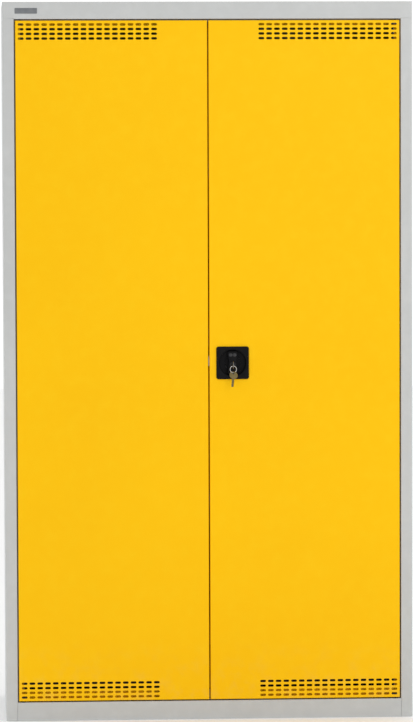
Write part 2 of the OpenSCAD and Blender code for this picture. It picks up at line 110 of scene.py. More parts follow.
class Look:
    """A principled material and the small node chains that give it its detail."""

    def __init__(self, name, color, roughness, metallic=0.0, specular=0.5):
        self.material = bpy.data.materials.new(name)
        self.material.use_nodes = True
        self.tree = self.material.node_tree
        self.shader = self.tree.nodes["Principled BSDF"]
        self.color = color
        self.shader.inputs["Base Color"].default_value = (*color, 1)
        self.shader.inputs["Roughness"].default_value = roughness
        self.shader.inputs["Metallic"].default_value = metallic
        self.shader.inputs["Specular IOR Level"].default_value = specular
        self.normal = None
        self.place = self.add("TexCoord", {}).outputs["Object"]

    def add(self, kind, inputs, **settings):
        """A new node of this look."""
        return add_node(self.tree, kind, inputs, **settings)

    def link(self, source, target):
        """Joins an output to an input."""
        self.tree.links.new(source, target)

    def stretched(self, scale):
        """The place on the object with each axis scaled, for brushed or streaked patterns."""
        return self.add("Mapping", {"Vector": self.place, "Scale": scale}).outputs["Vector"]

    def noise(self, scale, detail=2.0, rough=0.5, place=None):
        """Cloudy pattern from 0 to 1."""
        inputs = {"Vector": place or self.place, "Scale": scale, "Detail": detail, "Roughness": rough}
        return self.add("TexNoise", inputs).outputs[0]

    def cells(self, scale, output="Distance"):
        """Pattern of flat cells, like the spangle of zinc."""
        return self.add("TexVoronoi", {"Vector": self.place, "Scale": scale}).outputs[output]

    def spread(self, value, low, high, start=0.3, end=0.7):
        """value between start and end, spread over low to high."""
        inputs = {"Value": value, "From Min": start, "From Max": end, "To Min": low, "To Max": high}
        return self.add("MapRange", inputs).outputs["Result"]

    def height(self):
        """Height above the floor in metres."""
        return self.add("SeparateXYZ", {"Vector": self.place}).outputs["Z"]

    def times(self, a, b):
        """Product of two values."""
        return self.add("Math", {0: a, 1: b}, operation="MULTIPLY").outputs[0]

    def tint(self, mask, color, amount):
        """Blends color into the base colour where mask is high."""
        base = self.shader.inputs["Base Color"]
        under = base.links[0].from_socket if base.is_linked else (*self.color, 1)
        share = self.spread(mask, 0.0, amount, 0.0, 1.0)
        node = self.add("Mix", {0: share, 6: under, 7: (*color, 1)}, data_type="RGBA")
        self.link(node.outputs[2], base)

    def gloss(self, value, low, high):
        """Roughness between low and high, following value."""
        self.link(self.spread(value, low, high), self.shader.inputs["Roughness"])

    def relief(self, value, distance, strength):
        """Adds a bump of that depth to the surface."""
        node = self.add("Bump", {"Height": value, "Distance": distance, "Strength": strength})
        if self.normal is not None:
            self.link(self.normal, node.inputs["Normal"])
        self.normal = node.outputs["Normal"]
        self.link(self.normal, self.shader.inputs["Normal"])


def powder_coat(name, color, darker, lighter, roughness, specular):
    """Baked powder paint: orange peel, a slow wave of the sheet, faint marks and scuffs at the foot."""
    look = Look(name, color, roughness, 0.0, specular)
    look.tint(look.spread(look.noise(2.3, 3.0), 0, 1), darker, 0.5)
    look.tint(look.spread(look.noise(31.0, 4.0, 0.6), 0, 1, 0.45, 0.75), lighter, 0.35)
    specks = look.spread(look.noise(900.0, 1.0), 0, 1, 0.66, 0.74)
    look.tint(specks, darker, 0.35)
    foot = look.spread(look.height(), 1, 0, 0.02, 0.22)
    scuffs = look.times(foot, look.spread(look.noise(24.0, 5.0, 0.65), 0, 1, 0.48, 0.66))
    look.tint(scuffs, (0.42, 0.41, 0.39), 0.08)
    look.gloss(look.noise(9.0, 4.0, 0.6), roughness - 0.06, roughness + 0.08)
    look.relief(look.noise(3.1, 1.0), 0.6 * MM, 0.5)
    look.relief(look.noise(520.0, 2.0), 0.05 * MM, 0.55)
    return look.material


def galvanised():
    """Hot dipped zinc with its spangle and duller clouds."""
    look = Look("galvanised", (0.60, 0.62, 0.64), 0.42, 0.85)
    look.tint(look.cells(75.0, "Color"), (0.78, 0.80, 0.82), 0.55)
    look.tint(look.spread(look.noise(6.0, 4.0), 0, 1), (0.46, 0.48, 0.51), 0.5)
    look.gloss(look.cells(75.0), 0.34, 0.52)
    look.relief(look.cells(75.0), 0.04 * MM, 0.4)
    return look.material


def zinc_plated():
    """Bright plating with upright brush marks and a yellowish tinge here and there."""
    look = Look("zinc_plated", (0.66, 0.67, 0.68), 0.32, 0.95)
    look.tint(look.spread(look.noise(22.0, 3.0), 0, 1), (0.74, 0.71, 0.60), 0.45)
    streaks = look.noise(300.0, 3.0, 0.6, look.stretched((1, 1, 0.05)))
    look.tint(look.spread(streaks, 0, 1), (0.50, 0.52, 0.55), 0.35)
    look.gloss(streaks, 0.24, 0.42)
    look.relief(streaks, 0.02 * MM, 0.4)
    return look.material


def moulded(name, color, lighter, roughness, grain, depth, specular):
    """Moulded plastic or rubber with a fine grain and rubbed patches."""
    look = Look(name, color, roughness, 0.0, specular)
    look.tint(look.spread(look.noise(70.0, 3.0), 0, 1), lighter, 0.5)
    look.gloss(look.noise(140.0, 4.0, 0.65), roughness - 0.08, roughness + 0.1)
    look.relief(look.noise(grain, 2.0, 0.6), depth, 0.6)
    return look.material


def handled_metal(name, color, worn, dirt, roughness):
    """Small plated or machined metal: fine tool marks, tarnish and fingermarks."""
    look = Look(name, color, roughness, 1.0)
    look.tint(look.spread(look.noise(160.0, 3.0), 0, 1), worn, 0.6)
    look.tint(look.spread(look.noise(420.0, 4.0, 0.7), 0, 1, 0.5, 0.7), dirt, 0.4)
    marks = look.noise(900.0, 2.0, 0.5, look.stretched((1, 1, 0.12)))
    look.gloss(look.noise(240.0, 3.0), roughness - 0.08, roughness + 0.14)
    look.relief(marks, 0.02 * MM, 0.5)
    return look.material


# Colour, darker and lighter tint, roughness, specular level.
POWDER_COATS = {
    "body_grey": ((0.560, 0.570, 0.565), (0.50, 0.51, 0.50), (0.63, 0.64, 0.635), 0.46, 0.35),
    "door_yellow": ((1.0, 0.565, 0.002), (0.96, 0.52, 0.002), (1.0, 0.61, 0.008), 0.44, 0.09),
}
# Colour, rubbed colour, roughness, scale and depth of the grain, specular level.
MOULDINGS = {
    "black_plastic": ((0.004, 0.004, 0.0045), (0.008, 0.008, 0.009), 0.48, 1900.0, 0.06 * MM, 0.10),
    # rubbed_plastic: the thumb pads' black plastic made lighter than the grip, a painted highlight for the
    # light caught on the sloped pads
    "rubbed_plastic": ((0.030, 0.030, 0.032), (0.044, 0.044, 0.046), 0.40, 1900.0, 0.03 * MM, 0.25),
    "pale_nylon": ((0.72, 0.71, 0.66), (0.80, 0.79, 0.75), 0.45, 1200.0, 0.03 * MM, 0.4),
    "dark_nylon": ((0.03, 0.03, 0.035), (0.05, 0.05, 0.055), 0.45, 1200.0, 0.03 * MM, 0.4),
    "rubber": ((0.018, 0.018, 0.018), (0.04, 0.04, 0.04), 0.72, 800.0, 0.05 * MM, 0.3),
    "black_metal": ((0.010, 0.010, 0.011), (0.030, 0.030, 0.032), 0.30, 1400.0, 0.02 * MM, 0.3),
    "plate_grey": ((0.16, 0.17, 0.18), (0.24, 0.25, 0.26), 0.38, 1500.0, 0.03 * MM, 0.4),
}
# Colour, worn colour, dirt, roughness.
HANDLED_METALS = {
    "nickel": ((0.54, 0.53, 0.50), (0.70, 0.68, 0.64), (0.16, 0.15, 0.13), 0.20),
    "worn_nickel": ((0.20, 0.19, 0.17), (0.26, 0.25, 0.22), (0.08, 0.075, 0.065), 0.34),
    "brass": ((0.19, 0.15, 0.06), (0.30, 0.24, 0.12), (0.08, 0.065, 0.03), 0.36),
}

LOOKS = {"galvanised": galvanised(), "zinc_plated": zinc_plated()}
for make, table in ((powder_coat, POWDER_COATS), (moulded, MOULDINGS), (handled_metal, HANDLED_METALS)):
    for look_name, values in table.items():
        LOOKS[look_name] = make(look_name, *values)

# ---- mesh helpers


def obround(cx, cz, length, height, steps=8):
    """Points round a slot with half-round ends."""
    r = height / 2
    run = length / 2 - r
    half = [(run + r * math.cos(a), r * math.sin(a))
            for a in (math.pi * (k / steps - 0.5) for k in range(steps + 1))]
    return [(cx + u, cz + v) for u, v in half] + [(cx - u, cz - v) for u, v in half]


def circle(cx, cz, r, count=32):
    """Points round a circle."""
    return [(cx + r * math.cos(2 * math.pi * k / count), cz + r * math.sin(2 * math.pi * k / count))
            for k in range(count)]


def soft_rect(cx, cz, half_w, half_h, r, steps=6):
    """Points round a rectangle with round corners."""
    points = []
    for corner, (sx, sz) in enumerate(((1, 1), (-1, 1), (-1, -1), (1, -1))):
        for k in range(steps + 1):
            a = math.pi / 2 * (corner + k / steps)
            points.append((cx + sx * (half_w - r) + r * math.cos(a),
                           cz + sz * (half_h - r) + r * math.sin(a)))
    return points


def triangles(loops):
    """Triangles of point numbers inside the first flat loop and outside the others."""
    points = [Vector(p) for loop in loops for p in loop]
    faces, start = [], 0
    for loop in loops:
        numbers = list(range(start, start + len(loop)))
        turn = sum(a[0] * b[1] - a[1] * b[0] for a, b in zip(loop, loop[1:] + loop[:1]))
        faces.append(numbers if turn > 0 else numbers[::-1])
        start += len(loop)
    found = delaunay_2d_cdt(points, [], faces, 0, 1e-9, True)
    kept = []
    for face, origin in zip(found[2], found[5]):
        if list(origin) == [0]:
            kept.append([found[3][i][0] for i in face])
    return kept


class Body:
    """A mesh under construction: points, faces, strips between rows and flat panels with holes."""

    def __init__(self):
        self.outer, self.faces, self.numbers = [], [], {}

    def number(self, key):
        """Number of the point at a place, the next free one if the place is new."""
        key = tuple(round(c * 1e7) for c in key)
        return self.numbers.setdefault(key, len(self.outer))

    def point(self, place):
        n = self.number(place)
        if n == len(self.outer):
            self.outer.append(tuple(place))
        return n

    def row(self, places):
        return [self.point(p) for p in places]

    def strip(self, rows, closed=False):
        """Four-sided faces between neighbouring rows of points."""
        for a, b in zip(rows, rows[1:]):
            for i in range(len(a) if closed else len(a) - 1):
                j = (i + 1) % len(a)
                self.faces.append([a[i], a[j], b[j], b[i]])

    def fill(self, *loops):
        """A flat panel inside the first loop, with the other loops as holes."""
        numbers = [i for loop in loops for i in loop]
        places = [self.outer[i] for i in numbers]
        size = [max(p[k] for p in places) - min(p[k] for p in places) for k in range(3)]
        u, v = sorted(sorted(range(3), key=lambda k: -size[k])[:2])
        rings = [[(self.outer[i][u], self.outer[i][v]) for i in loop] for loop in loops]
        self.faces += [[numbers[k] for k in tri] for tri in triangles(rings)]

    def shell(self):
        return self.outer, self.faces


class Sheet(Body):
    """Folded sheet metal: each point has a place on the outer and one on the inner side."""

    def __init__(self):
        super().__init__()
        self.inner = []

    def point(self, outer, inner):
        n = self.number((*outer, *inner))
        if n == len(self.outer):
            self.outer.append(tuple(outer))
            self.inner.append(tuple(inner))
        return n

    def shell(self):
        """The closed body: both sides and the cut edges between them."""
        uses = {}
        for face in self.faces:
            for a, b in zip(face, face[1:] + face[:1]):
                uses.setdefault(frozenset((a, b)), []).append((a, b))
        n = len(self.outer)
        faces = self.faces + [[n + i for i in reversed(face)] for face in self.faces]
        for pairs in uses.values():
            if len(pairs) == 1:
                a, b = pairs[0]
                faces.append([b, a, n + a, n + b])
        return self.outer + self.inner, faces


def left_normal(a, b):
    """Unit vector to the left of the way from a to b."""
    d = Vector((b[0] - a[0], b[1] - a[1])).normalized()
    return Vector((-d.y, d.x))


def stations_of(path, bend, thick):
    """(outer point, inner point, leg) along a folded path, with arcs in its corners."""
    points = [Vector(p) for p in path]
    normals = [left_normal(a, b) for a, b in zip(points, points[1:])]
    stations = [(points[0], points[0] + normals[0] * thick, 0)]
    for i in range(1, len(points) - 1):
        n0, n1 = normals[i - 1], normals[i]
        left = n0.cross(n1) > 0
        r = bend if left else bend - thick
        side = 1 if left else -1
        centre = points[i] + side * (n0 + n1) * r / (1 + n0.dot(n1))
        swing = math.atan2(n0.cross(n1), n0.dot(n1))
        for k in range(ARC_STEPS + 1):
            n = Matrix.Rotation(swing * k / ARC_STEPS, 2) @ n0
            on = centre - side * n * r
            stations.append((on, on + n * thick, i))
    stations.append((points[-1], points[-1] + normals[-1] * thick, len(points) - 1))
    return stations


def folded(path, span, place, bend=BEND, thick=SHEET, holes=None, ends=None):
    """Sheet bent along a path of (u, v) points, with its thickness on the path's left, and run
    along span, a list of w. holes gives loops of (distance along the leg, w) by leg number, and
    ends the first and last place in span, by leg number, where a leg is shorter than the rest."""
    sheet = Sheet()
    stations = stations_of(path, bend, thick)
    rows = [[sheet.point(place(*o, w), place(*i, w)) for w in span] for o, i, _ in stations]
    for n, (a, b) in enumerate(zip(stations, stations[1:])):
        leg = a[2]
        first, last = (ends or {}).get(leg, (0, len(span) - 1))
        row_a, row_b = rows[n][first:last + 1], rows[n + 1][first:last + 1]
        if b[2] == leg or not (holes and leg in holes):
            sheet.strip([row_a, row_b])
            continue
        start = Vector(path[leg])
        d = (Vector(path[leg + 1]) - start).normalized()
        deep = left_normal(path[leg], path[leg + 1]) * thick
        cut = []
        for loop in holes[leg]:
            at = [(start + d * s, w) for s, w in loop]
            cut.append([sheet.point(place(*p, w), place(*(p + deep), w)) for p, w in at])
        sheet.fill(row_a + row_b[::-1], *cut)
    return sheet.shell()


def loft(rings, loop=False):
    """Faces between rings of points of equal count, closed by end faces or, with loop, by joining
    the last ring to the first."""
    verts = [p for ring in rings for p in ring]
    n = len(rings[0])
    last = len(rings) - 1
    faces = []
    pairs = [(k, k + 1) for k in range(last)]
    if loop:
        pairs.append((last, 0))
    for a, b in pairs:
        for i in range(n):
            j = (i + 1) % n
            faces.append([a * n + i, a * n + j, b * n + j, b * n + i])
    if not loop:
        faces.append(list(range(n))[::-1])
        faces.append([last * n + i for i in range(n)])
    return verts, faces


def turned(profile, centre, axis, count=40, loop=False):
    """A turned body from (radius, height) pairs about an axis through centre."""
    axis = Vector(axis).normalized()
    across = axis.orthogonal().normalized()
    up = axis.cross(across)
    rings = []
    for r, h in profile:
        rings.append([tuple(Vector(centre) + axis * h + r * (across * math.cos(a) + up * math.sin(a)))
                      for a in (2 * math.pi * k / count for k in range(count))])
    return loft(rings, loop=loop)


def in_mm(pairs):
    """Pairs given in mm, in metres."""
    return [(a * MM, b * MM) for a, b in pairs]


def mirrored(shell):
    """The same body on the other side of the cabinet."""
    verts, faces = shell
    return [(-x, y, z) for x, y, z in verts], [face[::-1] for face in faces]


def new_object(name, data):
    """An object of the scene with that mesh, light or camera."""
    obj = bpy.data.objects.new(name, data)
    bpy.context.scene.collection.objects.link(obj)
    return obj


def piece(name, shells, slot, body, replaces=(), bevel=0.0, look=None):
    """One object made of closed bodies, with its material, body and bevelled edges."""
    verts, faces = [], []
    for v, f in shells:
        start = len(verts)
        verts += list(v)
        faces += [[start + i for i in face] for face in f]
    mesh = bpy.data.meshes.new(name)
    mesh.from_pydata(verts, [], faces)
    work = bmesh.new()
    work.from_mesh(mesh)
    bmesh.ops.recalc_face_normals(work, faces=work.faces)
    work.to_mesh(mesh)
    work.free()
    for polygon in mesh.polygons:
        polygon.use_smooth = True
    mesh.set_sharp_from_angle(angle=SMOOTH_ANGLE)
    mesh.materials.append(LOOKS[look or slot])
    obj = new_object(name, mesh)
    if bevel:
        soften(obj, bevel)
    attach(obj, body)
    if replaces:
        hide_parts(*replaces)


def soften(obj, width):
    """Small rounding on the sharp edges, with the flat faces kept flat in the shading."""
    mod = obj.modifiers.new("edges", "BEVEL")
    mod.width = width
    mod.segments = 2
    mod.limit_method = "ANGLE"
    mod.angle_limit = BEVEL_ANGLE
    mod.harden_normals = True
    even = obj.modifiers.new("even", "WEIGHTED_NORMAL")
    even.keep_sharp = True


# ---- doors

SLOT_COLUMNS, SLOT_ROWS = 18, 4
SLOT_PITCH_X, SLOT_PITCH_Z = 21 * MM, 12.5 * MM
SLOT_LEN, SLOT_H = 15.5 * MM, 6.5 * MM
SLOT_EDGE_X, SLOT_EDGE_Z = 15 * MM, 10.5 * MM
FREE_RETURN = 28 * MM
HINGE_DEPTH, HINGE_RETURN = 16 * MM, 13 * MM
LOCK_CUT, LOCK_CUT_R = 39.5 * MM, 4 * MM
BOLT_HOLE_Z = (LOCK_Z - 10 * MM, LOCK_Z + 28 * MM)
CORNER_GAP = 0.4 * MM       # between the free edge's return and those at the top and bottom
DOOR_EDGE = 0.35 * MM


def vent_slots():
    """Outlines of the ventilation slots in the two corners of a door, as (x, z)."""
    loops = []
    for i in range(SLOT_COLUMNS):
        for k in range(SLOT_ROWS):
            x = DOOR_X1 - SLOT_EDGE_X - i * SLOT_PITCH_X
            for z in (DOOR_Z0 + SLOT_EDGE_Z + k * SLOT_PITCH_Z, DOOR_Z1 - SLOT_EDGE_Z - k * SLOT_PITCH_Z):
                loops.append(obround(x, z, SLOT_LEN, SLOT_H))
    return loops


def quarter(radius, thick):
    """(inset, depth) on the outer and the inner side of a fold, from the face to the flange."""
    inner = radius - thick
    rows = []
    for k in range(ARC_STEPS + 1):
        a = math.pi / 2 * k / ARC_STEPS
        rows.append(((radius - radius * math.sin(a), radius - radius * math.cos(a)),
                     (radius - inner * math.sin(a), radius - inner * math.cos(a))))
    return rows


def door_piece(right, name, shells, slot, node, bevel=0.0):
    """A piece drawn for the right door, mirrored where it is for the left one."""
    side = "right" if right else "left"
    if not right:
        shells = [mirrored(shell) for shell in shells]
    piece(side + "_" + name, shells, slot, side + "_door", [side + "_" + node], bevel)


def door_corners(inset, depth):
    """The four corners of the door face, moved inwards by inset and back by depth."""
    x0, x1 = DOOR_X0 + inset, DOOR_X1 - inset
    z0, z1 = DOOR_Z0 + inset, DOOR_Z1 - inset
    return [(x, FRONT_Y + depth, z) for x, z in ((x0, z0), (x1, z0), (x1, z1), (x0, z1))]


def door_front(sheet, lock_hole):
    """The face with its slots and the four folds round it."""
    rings = []
    for outer, inner in quarter(BEND, SHEET):
        rings.append([sheet.point(a, b) for a, b in zip(door_corners(*outer), door_corners(*inner))])
    sheet.strip(rings, closed=True)
    loops = vent_slots()
    if lock_hole:
        loops.append(soft_rect(LOCK_X, LOCK_Z, LOCK_CUT, LOCK_CUT, LOCK_CUT_R))
    cut = [[sheet.point((x, FRONT_Y, z), (x, FRONT_Y + SHEET, z)) for x, z in loop] for loop in loops]
    sheet.fill(rings[0], *cut)


def door_ends():
    """Outer and inner height of the two end returns."""
    return ((DOOR_Z0, DOOR_Z0 + SHEET), (DOOR_Z1, DOOR_Z1 - SHEET))


def upright_flange(sheet, edge, inward, back, run):
    """Rows of points along an upright edge of the door: flange, fold at the back and inner return."""
    front = FRONT_Y + BEND
    profile = [((0, front), (SHEET, front))]
    for (oi, od), (ii, idp) in reversed(quarter(BACK_BEND, SHEET)):
        profile.append(((oi, back - od), (ii, back - idp)))
    profile.append(((run, back), (run, back - SHEET)))
    rows = []
    for (u, y), (ui, yi) in profile:
        rows.append([sheet.point((edge + inward * u, y, z), (edge + inward * ui, yi, zi))
                     for z, zi in door_ends()])
    return rows


def free_edge(sheet):
    """Flange along the centre gap, with the opening for the side bolt, and its return."""
    rows = upright_flange(sheet, DOOR_X0, 1, DOOR_BACK_Y, FREE_RETURN)
    sheet.strip(rows[1:])
    y0, y1 = BOLT_Y0 - MM, DOOR_BACK_Y - BACK_BEND - 0.2 * MM
    z0, z1 = BOLT_HOLE_Z
    hole = [(y0, z0), (y1, z0), (y1, z1), (y0, z1)]
    cut = [sheet.point((DOOR_X0, y, z), (DOOR_X0 + SHEET, y, z)) for y, z in hole]
    sheet.fill([rows[0][0], rows[1][0], rows[1][1], rows[0][1]], cut)
    return rows


def hinge_edge(sheet):
    """Shallow flange at the pivots with its short return."""
    rows = upright_flange(sheet, DOOR_X1, -1, FRONT_Y + HINGE_DEPTH, HINGE_RETURN)
    sheet.strip(rows)
    return rows


def rod_opening(rod_x, room):
    """Corners (x, y) of an opening with some room all round a rod."""
    x0, x1 = rod_x - ROD_HALF_W - room, rod_x + ROD_HALF_W + room
    y0, y1 = ROD_Y0 - room, ROD_Y1 + room
    return [(x0, y0), (x1, y0), (x1, y1), (x0, y1)]


def door_end(sheet, top, free_rows, hinge_rows, rod_hole):
    """End return at the top or the bottom, with holes for the pin and the rod, and its inner flange."""
    end, sign, depth = (1, -1, HEAD_FLANGE) if top else (0, 1, FOOT_FLANGE)
    z, zi = door_ends()[end]
    sides = (DOOR_X0 + FREE_RETURN + CORNER_GAP, DOOR_X1 - HINGE_RETURN)
    fold_y = DOOR_BACK_Y - BACK_BEND
    loop = [row[end] for row in free_rows]
    loop += [sheet.point((x, fold_y, z), (x, fold_y, zi)) for x in sides]
    loop += [row[end] for row in reversed(hinge_rows)]
    holes = [circle(PIVOT_X, PIVOT_Y, PIN_HOLE_R, 24)]
    if rod_hole:
        holes.append(rod_opening(LOCK_X - sign * ROD_OFFSET, MM))
    cut = [[sheet.point((x, y, z), (x, y, zi)) for x, y in hole] for hole in holes]
    sheet.fill(loop, *cut)
    rows = []
    for (oi, od), (ii, idp) in quarter(BACK_BEND, SHEET):
        rows.append([sheet.point((x, DOOR_BACK_Y - oi, z + sign * od), (x, DOOR_BACK_Y - ii, z + sign * idp))
                     for x in sides])
    rim = z + sign * depth
    rows.append([sheet.point((x, DOOR_BACK_Y, rim), (x, DOOR_BACK_Y - SHEET, rim)) for x in sides])
    sheet.strip(rows)


def door_skin(right):
    """One door pan; only the right one has openings for the lock and the rods."""
    sheet = Sheet()
    door_front(sheet, right)
    free_rows = free_edge(sheet)
    hinge_rows = hinge_edge(sheet)
    for top in (True, False):
        door_end(sheet, top, free_rows, hinge_rows, right)
    door_piece(right, "door_pan", [sheet.shell()], "door_yellow", "door_skin", DOOR_EDGE)


# ---- carcass

SEAM = 0.3 * MM
STOP_FLANGE = 18 * MM
REAR_FLANGE = 22 * MM
SHEET_EDGE = 0.3 * MM       # bevel of most cut edges
THIN_EDGE = 0.2 * MM
BEAD_PITCH, BEAD_LENGTH, BEAD_WIDTH, BEAD_RISE = 275 * MM, 1500 * MM, 30 * MM, 1.3 * MM
WALL_HOLE_X, WALL_HOLE_Z, WALL_HOLE_R = 450 * MM, BODY_H - 115 * MM, 4.5 * MM
POST_SLOT_EDGE, POST_SLOT_W, POST_SLOT_H = 7 * MM, 16 * MM, 8 * MM
POST_SLOT_START, POST_SLOT_PITCH = 100 * MM, 50 * MM
TRAY_CORNER, TRAY_FLOOR_RUN, TRAY_RIM = 10 * MM, 16 * MM, 9 * MM
TRAY_BEAD_WIDTH, TRAY_BEAD_RISE = 40 * MM, 2.5 * MM
BUFFER_PLACES = (-470 * MM, -40 * MM, 40 * MM, 470 * MM)


def side_panels():
    """Side wall with its rear flange, front post, jamb and door stop, all one folded sheet."""
    path = [(JAMB_X - STOP_FLANGE, STOP_Y), (JAMB_X, STOP_Y), (JAMB_X, FRONT_Y), (HALF_W, FRONT_Y),
            (HALF_W, REAR_Y), (HALF_W - REAR_FLANGE, REAR_Y)]
    short = {0: (0, 1), 1: (0, 1), 2: (0, 2)}
    heights = (0, RAIL_Z - SEAM, RAIL_Z + RAIL_BEND - SEAM, BODY_H)
    shell = folded(path, heights, lambda x, y, z: (x, y, z), ends=short)
    for name, body in (("right", shell), ("left", mirrored(shell))):
        piece("side_" + name, [body], "body_grey", "cabinet", ["side_panel_" + name], THIN_EDGE)


def rail_holes(rod_x):
    """Holes for the two pivot bushes and the rod, as (y, x)."""
    loops = [circle(PIVOT_Y, s * PIVOT_X, BUSH_HOLE_R, 24) for s in (-1, 1)]
    loops.append([(y, x) for x, y in rod_opening(rod_x, 2 * MM)])
    return loops


def front_rails():
    """Top and bottom rail, each a plate folded back over the doors and up or down as their stop."""
    stop = STOP_Y + SHEET
    wide, narrow = HALF_W - BEND, JAMB_X
    path = [(FRONT_Y, BODY_H), (FRONT_Y, RAIL_Z), (stop, RAIL_Z), (stop, RAIL_Z - HEAD_FLANGE)]
    holes = [[(y - FRONT_Y, x) for y, x in loop] for loop in rail_holes(LOCK_X + ROD_OFFSET)]
    short = {leg: (1, 2) for leg in (1, 2)}
    top = folded(path, (-wide, -narrow, narrow, wide), lambda y, z, x: (x, y, z), RAIL_BEND,
                 holes={1: holes}, ends=short)
    piece("rail_top", [top], "body_grey", "cabinet", ["top_rail"], SHEET_EDGE)
    path = [(stop, FOOT_Z + FOOT_FLANGE), (stop, FOOT_Z), (FRONT_Y, FOOT_Z), (FRONT_Y, 0)]
    holes = [[(stop - y, x) for y, x in loop] for loop in rail_holes(LOCK_X - ROD_OFFSET)]
    foot = folded(path, (-narrow, narrow), lambda y, z, x: (x, y, z), RAIL_BEND, holes={1: holes})
    piece("rail_bottom", [foot], "body_grey", "cabinet", ["bottom_rail"], SHEET_EDGE)


def wall_bead(sheet, x, z, y):
    """An upright pressed bead with sloping sides on the outside of a wall at y; gives its outline."""
    rings = []
    for inset, share in ((0, 0), (0.12, 0.18), (0.3, 0.75), (0.42, 1.0)):
        narrower = 2 * inset * BEAD_WIDTH
        out = y + share * BEAD_RISE
        loop = obround(z, x, BEAD_LENGTH - narrower, BEAD_WIDTH - narrower)
        rings.append([sheet.point((u, out, w), (u, out - SHEET, w)) for w, u in loop])
    sheet.strip(rings, closed=True)
    sheet.fill(rings[-1])
    return rings[0]


def back_wall():
    """Back wall with three pressed beads and the two wall fixing holes, each in a patch of its own
    that keeps long thin triangles away from it."""
    low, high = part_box("back_panel")
    sheet = Sheet()

    def row(loop):
        return [sheet.point((x, high.y, z), (x, low.y, z)) for x, z in loop]

    rim = row([(low.x, low.z), (high.x, low.z), (high.x, high.z), (low.x, high.z)])
    loops = []
    for x in (-BEAD_PITCH, 0, BEAD_PITCH):
        loops.append(wall_bead(sheet, x, (low.z + high.z) / 2, high.y))
    for x in (-WALL_HOLE_X, WALL_HOLE_X):
        patch = row(circle(x, WALL_HOLE_Z, 20 * MM, 16))
        sheet.fill(patch, row(circle(x, WALL_HOLE_Z, WALL_HOLE_R)))
        loops.append(patch)
    sheet.fill(rim, *loops)
    piece("back_wall", [sheet.shell()], "body_grey", "cabinet", ["back_panel"], SHEET_EDGE)


def uprights():
    """Slotted shelf posts on the side walls."""
    face_x, wall_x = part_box("upright_front_right")[0].x, HALF_W - SHEET
    for place in ("front", "rear"):
        low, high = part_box("upright_%s_right" % place)
        path = [(wall_x, high.y), (face_x, high.y), (face_x, low.y), (wall_x, low.y)]
        holes = []
        u0, u1 = POST_SLOT_EDGE, POST_SLOT_EDGE + POST_SLOT_W
        z = low.z + POST_SLOT_START
        while z + POST_SLOT_H < high.z:
            holes.append([(u0, z), (u1, z), (u1, z + POST_SLOT_H), (u0, z + POST_SLOT_H)])
            z += POST_SLOT_PITCH
        shell = folded(path, (low.z, high.z), lambda x, y, w: (x, y, w), BACK_BEND, holes={1: holes})
        for side, body in (("right", shell), ("left", mirrored(shell))):
            node = "upright_%s_%s" % (place, side)
            piece("shelf_post_%s_%s" % (place, side), [body], "galvanised", "cabinet", [node], THIN_EDGE)


def tray(node, slot):
    """Folded tray with welded round corners, a turned-in rim and two pressed beads in its floor."""
    low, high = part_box(node)
    mid = (low + high) / 2
    half_x, half_y = high.x - mid.x, high.y - mid.y
    path = [(-TRAY_FLOOR_RUN, low.z), (0, low.z), (0, high.z), (-TRAY_RIM, high.z)]
    sheet = Sheet()

    def ring(out, z):
        r = max(TRAY_CORNER + out, 0.6 * MM)
        return [(x, y, z) for x, y in soft_rect(mid.x, mid.y, half_x + out, half_y + out, r)]

    rows = []
    for outer, inner, _ in stations_of(path, BEND, SHEET):
        rows.append([sheet.point(a, b) for a, b in zip(ring(*outer), ring(*inner))])
    sheet.strip(rows, closed=True)
    beads = []
    for y in (mid.y - half_y / 2, mid.y + half_y / 2):
        rings = []
        for inset, share in ((0, 0), (3 * MM, 0.5), (7 * MM, 1.0)):
            loop = obround(mid.x, y, 1.6 * half_x - 2 * inset, TRAY_BEAD_WIDTH - 2 * inset)
            up = share * TRAY_BEAD_RISE
            rings.append([sheet.point((u, w, low.z + up), (u, w, low.z + SHEET + up)) for u, w in loop])
        sheet.strip(rings, closed=True)
        sheet.fill(rings[-1])
        beads.append(rings[0])
    sheet.fill(rows[0], *beads)
    piece(node + "_pan", [sheet.shell()], slot, "cabinet", [node], SHEET_EDGE)


def nameplate():
    """Blank plate with a raised border and two rivets."""
    low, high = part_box("blank_nameplate")
    x, z = (low.x + high.x) / 2, (low.z + high.z) / 2
    w, h = (high.x - low.x) / 2, (high.z - low.z) / 2
    rings = []
    for inset, y in ((0, high.y), (0, low.y + 0.25 * MM), (0.25 * MM, low.y), (1.1 * MM, low.y),
                     (1.4 * MM, low.y + 0.3 * MM)):
        loop = soft_rect(x, z, w - inset, h - inset, 1.6 * MM - inset)
        rings.append([(u, y, v) for u, v in loop])
    shells = [loft(rings)]
    for s in (-1, 1):
        head = in_mm([(1.3, 0), (1.2, 0.3), (0.8, 0.45), (0.2, 0.5)])
        shells.append(turned(head, (x + s * (w - 4 * MM), high.y - 0.29 * MM, z), (0, -1, 0), 20))
    piece("blank_plate", shells, "plate_grey", "cabinet", ["blank_nameplate"])


def bushes():
    """Flanged nylon bushes of the four pivots, with a running fit round the pins."""
    bore = 3.06
    profile = in_mm([(bore, 8.0), (3.5, 8.0), (4.05, 7.6), (4.3, 7.0), (4.3, 0.0), (5.1, 0.0),
                     (5.3, -0.2), (5.3, -0.8), (5.1, -1.0), (3.4, -1.0), (bore, -0.6)])
    shells = []
    for s in (-1, 1):
        shells.append(turned(profile, (s * PIVOT_X, PIVOT_Y, RAIL_Z), (0, 0, 1), 40, loop=True))
        shells.append(turned(profile, (s * PIVOT_X, PIVOT_Y, FOOT_Z), (0, 0, -1), 40, loop=True))
    piece("bushes", shells, "dark_nylon", "cabinet", ["pivot_bushes"])


